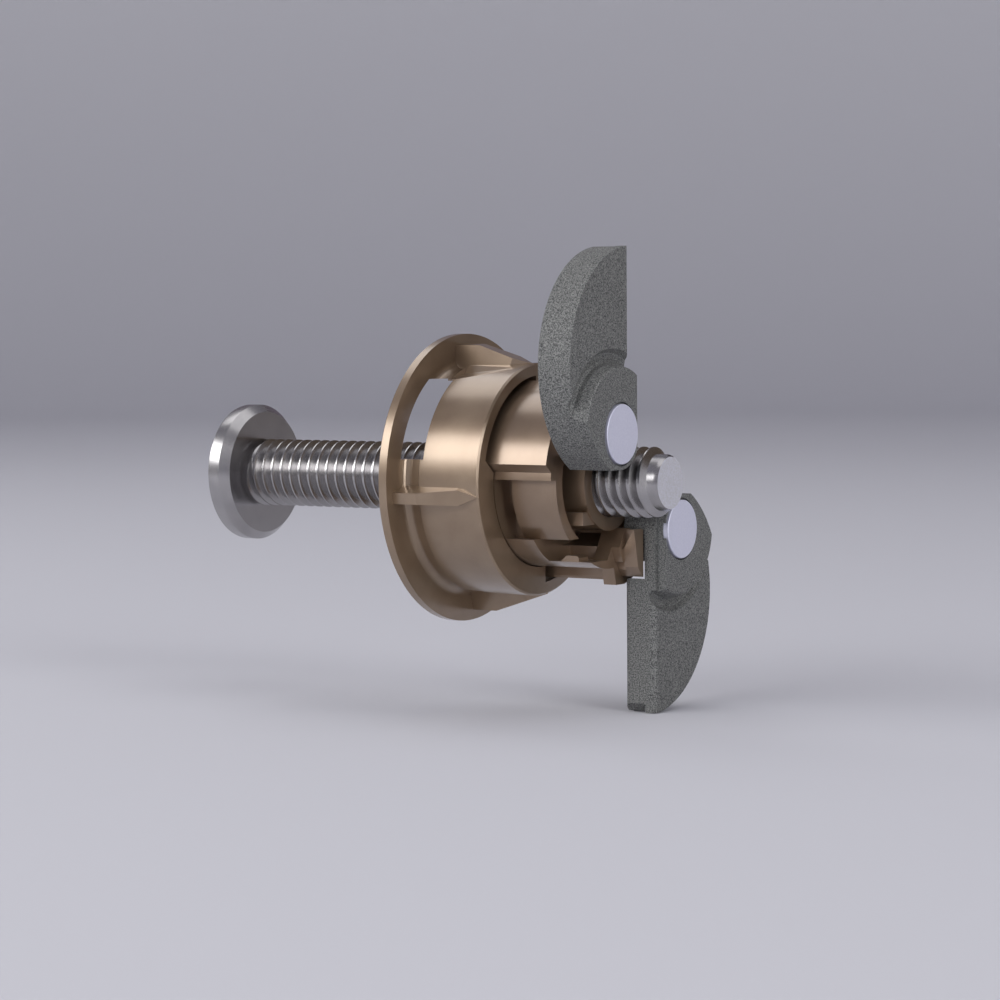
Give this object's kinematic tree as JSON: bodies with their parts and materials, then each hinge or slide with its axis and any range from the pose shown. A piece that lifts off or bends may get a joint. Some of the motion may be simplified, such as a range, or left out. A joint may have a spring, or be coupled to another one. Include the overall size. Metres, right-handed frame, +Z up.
{
  "type": "plasterboard fixing",
  "caption": "Cavity wall fixing: flanged ribbed body for a drilled hole, machine screw, and swing-out cast wings that clamp behind the board.",
  "frame": {"origin": "on the screw's axis, in the plane of the flange's back face, which is the face that meets the wall", "axes": "+X along the screw into the wall, +Z up, +Y to the left seen from the screw head; the wings stand open along +Z and -Z"},
  "size_m": [0.0443, 0.025, 0.0396],
  "materials": {
    "body_polymer": "moulded glass-filled polyamide with a fine bronze pigment, polished mould",
    "core_polymer": "moulded glass-filled polyamide with a fine bronze pigment, polished mould",
    "screw_steel": "bright zinc plated steel, rolled thread",
    "wing_cast": "as-cast, fine grain",
    "pin_steel": "turned and ground end face",
    "clip_steel": "spring steel, plain"
  },
  "bodies": {
    "body": {"outer_shell": "body_polymer", "core": "core_polymer"},
    "screw": {"screw": "screw_steel"},
    "wing_upper": {"wing_upper": "wing_cast", "pin_upper": "pin_steel", "clip_upper": "clip_steel"},
    "wing_lower": {"wing_lower": "wing_cast", "pin_lower": "pin_steel", "clip_lower": "clip_steel"}
  },
  "joints": [
    {"name": "wing_upper_swing", "type": "hinge", "parent": "body", "child": "wing_upper", "pos_m": [0.0145, -0.005, 0.00424], "axis": [1, 0, 0], "range_deg": [-60, 0]},
    {"name": "wing_lower_swing", "type": "hinge", "parent": "body", "child": "wing_lower", "pos_m": [0.0145, 0.005, -0.00424], "axis": [1, 0, 0], "range_deg": [-60, 0]},
    {"name": "screw_feed", "type": "slide", "parent": "body", "child": "screw", "axis": [1, 0, 0], "range_m": [-0.008, 0.0205]}
  ]
}
